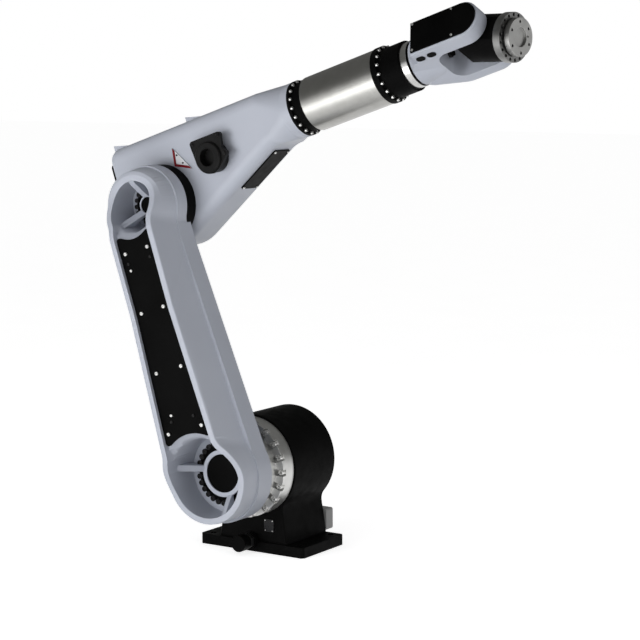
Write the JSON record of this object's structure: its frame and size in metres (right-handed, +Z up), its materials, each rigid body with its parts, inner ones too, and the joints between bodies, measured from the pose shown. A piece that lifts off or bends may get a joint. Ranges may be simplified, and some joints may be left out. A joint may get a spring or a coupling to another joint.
{
  "type": "industrial robot arm",
  "caption": "Jointed robot arm on a bolted foot, with a side-mounted lower arm, an offset forearm tube, a forked wrist and a bolted tool flange.",
  "frame": {"origin": "middle of the foot plate's underside", "axes": "+Z up, +X the way the forearm points, -Y the side of the lower arm"},
  "size_m": [1.3237, 0.515, 1.55],
  "materials": {
    "black_casting": "black satin coat on a casting",
    "arm_paint": "pale blue-grey satin paint on a casting",
    "gear_steel": "fine turned",
    "tube_metal": "brushed round",
    "black_cover": "smooth satin",
    "motor_black": "black satin coat",
    "box_grey": "satin paint",
    "sign_blank": "bare dark plate",
    "pointer_white": "white paint",
    "pointer_red": "red film"
  },
  "bodies": {
    "base": {"base_plate": "black_casting", "pedestal": "black_casting", "drum_cover": "black_casting", "shoulder_gear_ring": "gear_steel", "connection_box": "box_grey", "cable_gland": "black_cover", "sign_plate": "sign_blank"},
    "lower_arm_body": {"lower_arm": "arm_paint", "arm_cover": "black_cover", "shoulder_hub_cap": "black_cover", "elbow_hub_cap": "black_cover", "shoulder_bolt_ring": "black_cover", "elbow_bolt_ring": "black_cover"},
    "forearm_body": {"elbow_housing": "arm_paint", "elbow_gear_ring": "black_casting", "elbow_far_cap": "arm_paint", "rear_cover": "black_cover", "belly_cover": "black_cover", "motor_plate": "motor_black", "elbow_motor": "motor_black", "pointer_plate": "pointer_white", "pointer_strips": "pointer_red", "forearm_flange": "black_casting", "forearm_tube": "tube_metal", "forearm_collar": "black_casting", "roll_gear_ring": "gear_steel"},
    "fork_body": {"wrist_fork": "arm_paint", "fork_seal": "black_cover", "near_cover": "black_cover", "far_cover": "black_cover", "fork_plugs": "black_cover", "crotch_glands": "black_cover"},
    "wrist_body_group": {"wrist_body": "black_casting", "wrist_gear_ring": "gear_steel"},
    "tool_body": {"tool_flange": "gear_steel"}
  },
  "joints": [
    {"name": "shoulder", "type": "hinge", "parent": "base", "child": "lower_arm_body", "pos_m": [0, 0, 0.25], "axis": [0, 1, 0], "range_deg": [-45, 60]},
    {"name": "elbow", "type": "hinge", "parent": "lower_arm_body", "child": "forearm_body", "pos_m": [-0.24908, 0, 0.99443], "axis": [0, -1, 0], "range_deg": [-70, 110]},
    {"name": "forearm_roll", "type": "hinge", "parent": "forearm_body", "child": "fork_body", "pos_m": [0.73509, -0.097, 1.45847], "axis": [0.9472, 0, 0.3206], "range_deg": [-170, 170]},
    {"name": "wrist_bend", "type": "hinge", "parent": "fork_body", "child": "wrist_body_group", "pos_m": [0.73509, -0.097, 1.45847], "axis": [0.1549, 0.8755, -0.4578], "range_deg": [-120, 80]},
    {"name": "tool_turn", "type": "hinge", "parent": "wrist_body_group", "child": "tool_body", "pos_m": [0.85685, -0.11761, 1.46027], "axis": [0.9859, -0.1669, 0.0146], "range_deg": [-350, 350]}
  ]
}
